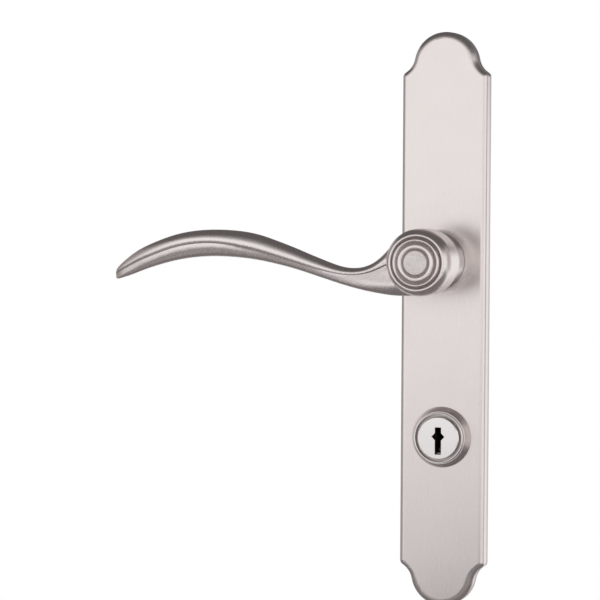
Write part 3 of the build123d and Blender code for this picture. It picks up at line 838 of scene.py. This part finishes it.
def turned_skin(name, depth, radius, height, loop=True):
    """Skin round an axis along Y: x = r(u, v) sin v, y = y(u), z = height + r(u, v) cos v."""
    radius = np.broadcast_to(radius, (len(depth), COLUMNS))
    depth = np.broadcast_to(depth[:, None], radius.shape)
    points = np.stack([radius * np.sin(around), depth, height + radius * np.cos(around)], axis=-1)
    return skin(name, points, loop)


def plain_rows(radii):
    return np.repeat(np.array(radii)[:, None], COLUMNS, axis=1)


# %% Rounded corners and threads
CORNER_STEPS = 6
FLANK = 1.5
ROOT = 0.25
ROWS_PER_PITCH = 8


def rounded(outline, cuts, loop=True):
    """Outline with each corner P replaced by the curve (1-t)^2 A + 2t(1-t) P + t^2 B, cut off at A and B."""
    corner = np.array(outline, dtype=float)
    cut = np.array(cuts, dtype=float)[:, None]
    before = np.roll(corner, 1, axis=0) - corner
    after = np.roll(corner, -1, axis=0) - corner
    a = corner + before / np.linalg.norm(before, axis=1, keepdims=True) * cut
    b = corner + after / np.linalg.norm(after, axis=1, keepdims=True) * cut
    t = np.linspace(0, 1, CORNER_STEPS)[None, :, None]
    curve = (1 - t) ** 2 * a[:, None] + 2 * t * (1 - t) * corner[:, None] + t ** 2 * b[:, None]
    rows = curve.reshape(-1, 2)
    return rows if loop else np.vstack([corner[:1], rows[CORNER_STEPS:-CORNER_STEPS], corner[-1:]])


def thread(depth, start, end, pitch):
    """Height of a thread from 0 to 1 over depth and angle: a flattened zigzag of depth/pitch - v/2pi."""
    turn = np.arange(COLUMNS) / COLUMNS
    saw = (depth[:, None] / pitch - turn) % 1
    zigzag = np.clip(FLANK * np.abs(2 * saw - 1) - ROOT, 0, 1)
    run_in = np.clip((depth - start) / pitch, 0, 1) * np.clip((end - depth) / pitch, 0, 1)
    return zigzag * run_in[:, None]


# %% [markdown]
# ## The key cylinder's trim and thread
#
# A cylinder like this is turned from bar, threaded, and held by a nut inside the
# plate. The trim ring and the bright rim get soft edges, which catch the light
# as thin rings. The thread is cut into the wall, so that its crests stay at the
# CAD model's radius.

# %% Trim ring
BODY_RADIUS = 9.4 * MM
FIT = 0.02 * MM
COLLAR_TAPER = 1.6 * MM
COLLAR_CUTS = np.array((0.15, 0.3, 0.2, 0.02, 0.02, 0.02)) * MM
LIP = 1.2 * MM

low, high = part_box("cylinder_collar")
collar_base = (high.x - low.x) / 2
head_radius = (housing_high.x - housing_low.x) / 2
lip_depth = high.y - LIP
outline = [
    (collar_base, high.y),
    (collar_base - COLLAR_TAPER, low.y),
    (head_radius + FIT, low.y),
    (head_radius + FIT, lip_depth),
    (BODY_RADIUS + FIT, lip_depth),
    (BODY_RADIUS + FIT, high.y),
]
radius, depth = rounded(outline, COLLAR_CUTS).T
collar = turned_skin("trim_ring", depth, radius[:, None], key_height)
dress(collar, "cylinder_collar", "plate_body", collar_nickel_shaded)

# %% Head, bore and thread of the housing
BORE = 6.41 * MM
RECESS_RADIUS = 9.95 * MM
RECESS_DEPTH = 2.7 * MM
HEAD_CUTS = np.array((0, 0.25, 0.25, 0.02, 0)) * MM
LOCK_GROOVE_WIDTH = 8.6 * MM
LOCK_GROOVE_REACH = 8.3 * MM
LOCK_GROOVE_SPAN = (-8.75 * MM, 11.25 * MM)
SMALLEST = 1e-6
PITCH = 1.0 * MM
THREAD_DEPTH = 0.5 * MM
END_CHAMFER = 0.4 * MM

# The groove's straight walls are at r = width / (2 |sin v|), between the bore and the groove's reach
wall = LOCK_GROOVE_WIDTH / 2 / np.maximum(np.abs(np.sin(around)), SMALLEST)
groove = np.clip(wall, BORE, LOCK_GROOVE_REACH)
recess_floor = housing_low.y + RECESS_DEPTH
head = rounded([
    (RECESS_RADIUS, recess_floor), (RECESS_RADIUS, housing_low.y),
    (head_radius, housing_low.y), (head_radius, lip_depth), (BODY_RADIUS, lip_depth),
], HEAD_CUTS, loop=False)
thread_end = housing_high.y - END_CHAMFER
cut_depth = np.arange(hollow_floor, thread_end, PITCH / ROWS_PER_PITCH)
cut_radius = BODY_RADIUS - THREAD_DEPTH * thread(cut_depth, hollow_floor, thread_end, PITCH)
print("thread:", len(cut_depth), "rows")

# %% Threaded housing
groove_front, groove_back = LOCK_GROOVE_SPAN
depth = np.concatenate([
    [housing_high.y, groove_back, groove_back, groove_front, groove_front, recess_floor],
    head[:, 1], cut_depth, [thread_end, housing_high.y],
])
radius = np.concatenate([
    plain_rows((BORE, BORE)), groove[None], groove[None], plain_rows((BORE, BORE)),
    plain_rows(head[:, 0]), cut_radius, plain_rows((BODY_RADIUS, BODY_RADIUS - END_CHAMFER)),
])
housing = turned_skin("threaded_housing", depth, radius, key_height)
dress(housing, "cylinder_housing", "plate_body", housing_nickel)

# %% Chamfered nut
NUT_STEPS = 17
FLAT_ANGLE = np.radians(60)
CHAMFER_START = 0.97
CHAMFER_SLOPE = 1.7

low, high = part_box("cylinder_nut")
flats = (high.z - low.z) / 2
hexagon = flats / np.cos((around + FLAT_ANGLE / 2) % FLAT_ANGLE - FLAT_ANGLE / 2)
face = np.linspace(low.y, high.y, NUT_STEPS)
from_edge = np.minimum(face - low.y, high.y - face)
side_radius = np.minimum(hexagon, CHAMFER_START * flats + CHAMFER_SLOPE * from_edge[:, None])
depth = np.concatenate([[low.y], face, [high.y]])
hole = plain_rows((BODY_RADIUS + FIT,))
nut = turned_skin("chamfered_nut", depth, np.concatenate([hole, side_radius, hole]), key_height)
dress(nut, "cylinder_nut", "plate_body", zinc_steel)

# %% [markdown]
# ## Tapped posts
#
# The screws from the inside of the door pull on two posts behind the plate. A
# tap cuts their thread outwards from the drilled hole. Both posts are the same,
# so a loop makes them, each at the height of its CAD solid.

# %% Two posts with a thread inside
TAP_RADIUS = 1.7 * MM
TAP_DEPTH = 16.0 * MM
TAP_PITCH = 0.8 * MM
TAP_CUT = 0.25 * MM
MOUTH = 0.5 * MM

for node in ("upper_post", "lower_post"):
    low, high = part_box(node)
    post_radius = (high.x - low.x) / 2
    bottom = high.y - TAP_DEPTH
    tap_depth = np.arange(high.y, bottom, -TAP_PITCH / ROWS_PER_PITCH)
    tap_radius = TAP_RADIUS + TAP_CUT * thread(tap_depth, bottom, high.y, TAP_PITCH)
    depth = np.concatenate([[low.y, high.y - MOUTH, high.y], tap_depth, [bottom]])
    outside = plain_rows((post_radius, post_radius, post_radius - MOUTH))
    radius = np.concatenate([outside, tap_radius, plain_rows((TAP_RADIUS,))])
    post = turned_skin("tapped_" + node, depth, radius, (low.z + high.z) / 2, loop=False)
    dress(post, node, "plate_body", zinc_steel)
